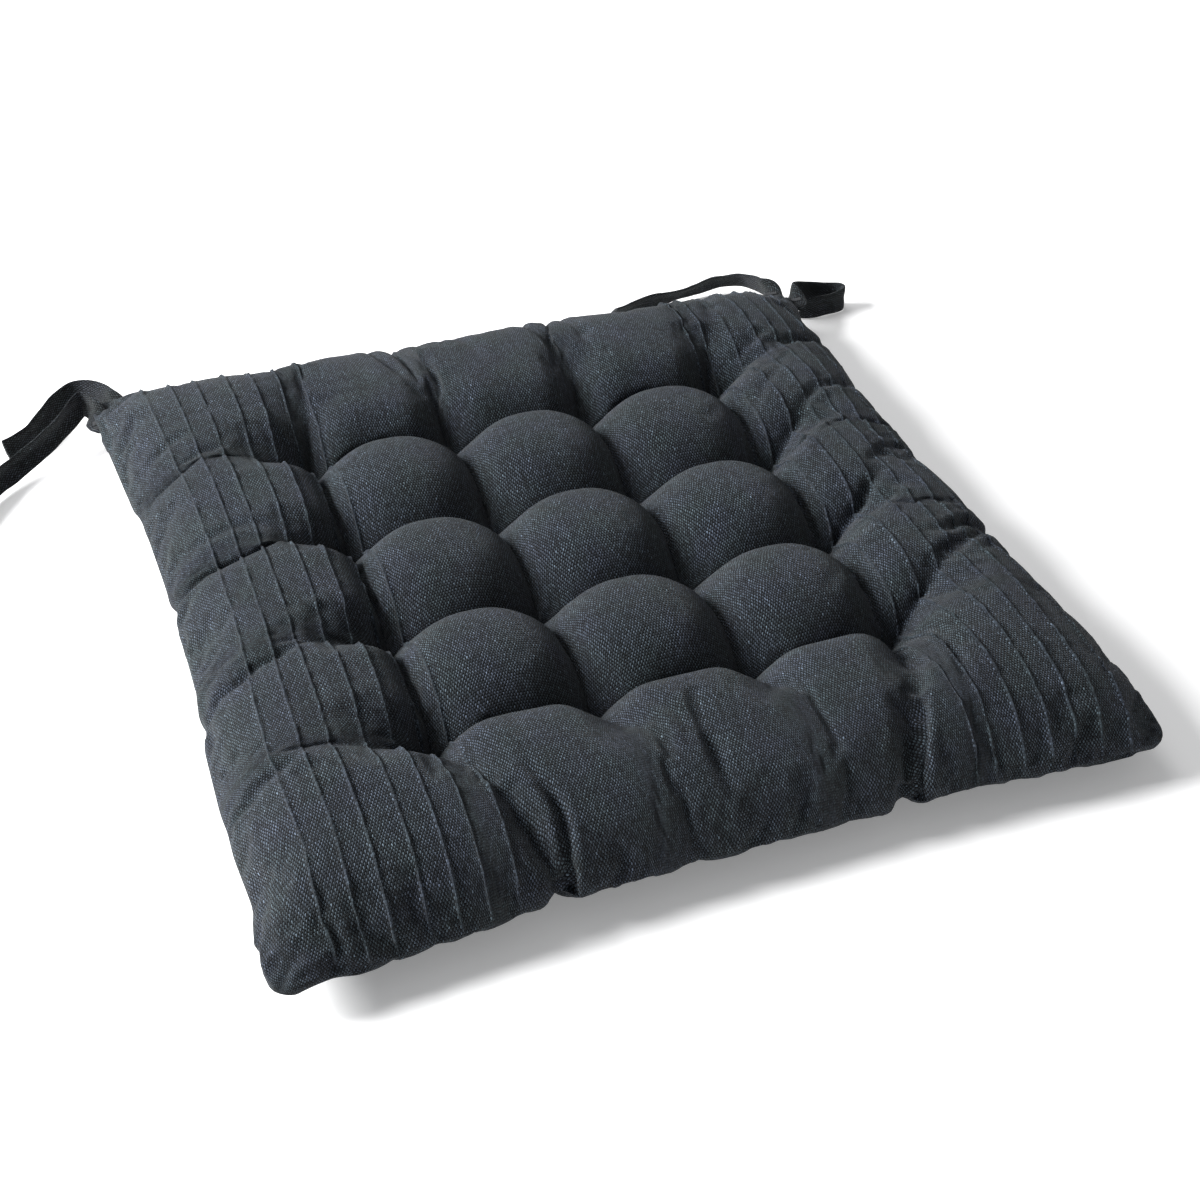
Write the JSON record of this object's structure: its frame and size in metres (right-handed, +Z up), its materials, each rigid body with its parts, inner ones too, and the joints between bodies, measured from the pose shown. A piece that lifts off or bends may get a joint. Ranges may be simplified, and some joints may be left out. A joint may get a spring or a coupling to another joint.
{
  "type": "chair seat pad",
  "caption": "Square tufted seat pad of dark woven cotton with a soft fibre filling, pin-tuck ribs on its side borders and flat ties at its back corners.",
  "frame": {"origin": "on the surface that the pad lies on, under the middle of the pad", "axes": "+Z up out of the seat, +Y towards the back edge with the ties, +X to the right of someone facing the back edge"},
  "size_m": [0.5237, 0.4433, 0.052],
  "materials": {
    "woven_cover": "coarse plain-weave cotton, matt, dark blue-grey",
    "tie_tape": "folded and top-stitched strip of the cover's cotton, matt",
    "sewing_thread": "dark polyester thread, slight sheen",
    "fibre_filling": "white polyester fibre wadding"
  },
  "bodies": {
    "pad": {"top_cover": "woven_cover", "bottom_cover": "woven_cover", "fibre_filling": "fibre_filling", "rim_seam_thread": "sewing_thread", "tuft_stitch_row1_column1": "sewing_thread", "tuft_stitch_row1_column2": "sewing_thread", "tuft_stitch_row1_column3": "sewing_thread", "tuft_stitch_row1_column4": "sewing_thread", "tuft_stitch_row2_column1": "sewing_thread", "tuft_stitch_row2_column2": "sewing_thread", "tuft_stitch_row2_column3": "sewing_thread", "tuft_stitch_row2_column4": "sewing_thread", "tuft_stitch_row3_column1": "sewing_thread", "tuft_stitch_row3_column2": "sewing_thread", "tuft_stitch_row3_column3": "sewing_thread", "tuft_stitch_row3_column4": "sewing_thread", "tuft_stitch_row4_column1": "sewing_thread", "tuft_stitch_row4_column2": "sewing_thread", "tuft_stitch_row4_column3": "sewing_thread", "tuft_stitch_row4_column4": "sewing_thread", "tie_left_rear_bar_tack": "sewing_thread", "tie_left_side_bar_tack": "sewing_thread", "tie_right_rear_bar_tack": "sewing_thread", "tie_right_side_bar_tack": "sewing_thread"},
    "tie_left_rear_strip": {"tie_left_rear": "tie_tape"},
    "tie_left_side_strip": {"tie_left_side": "tie_tape"},
    "tie_right_rear_strip": {"tie_right_rear": "tie_tape"},
    "tie_right_side_strip": {"tie_right_side": "tie_tape"}
  },
  "joints": [
    {"name": "tie_left_rear_swing", "type": "hinge", "parent": "pad", "child": "tie_left_rear_strip", "pos_m": [-0.192, 0.2026, 0.019], "axis": [0, 0, 1], "range_deg": [-95, 5]},
    {"name": "tie_left_side_swing", "type": "hinge", "parent": "pad", "child": "tie_left_side_strip", "pos_m": [-0.2026, 0.192, 0.019], "axis": [0, 0, 1], "range_deg": [-5, 50]},
    {"name": "tie_right_rear_swing", "type": "hinge", "parent": "pad", "child": "tie_right_rear_strip", "pos_m": [0.192, 0.2026, 0.019], "axis": [0, 0, 1], "range_deg": [-35, 10]},
    {"name": "tie_right_side_swing", "type": "hinge", "parent": "pad", "child": "tie_right_side_strip", "pos_m": [0.2026, 0.192, 0.019], "axis": [0, 0, 1], "range_deg": [-90, 5]}
  ]
}
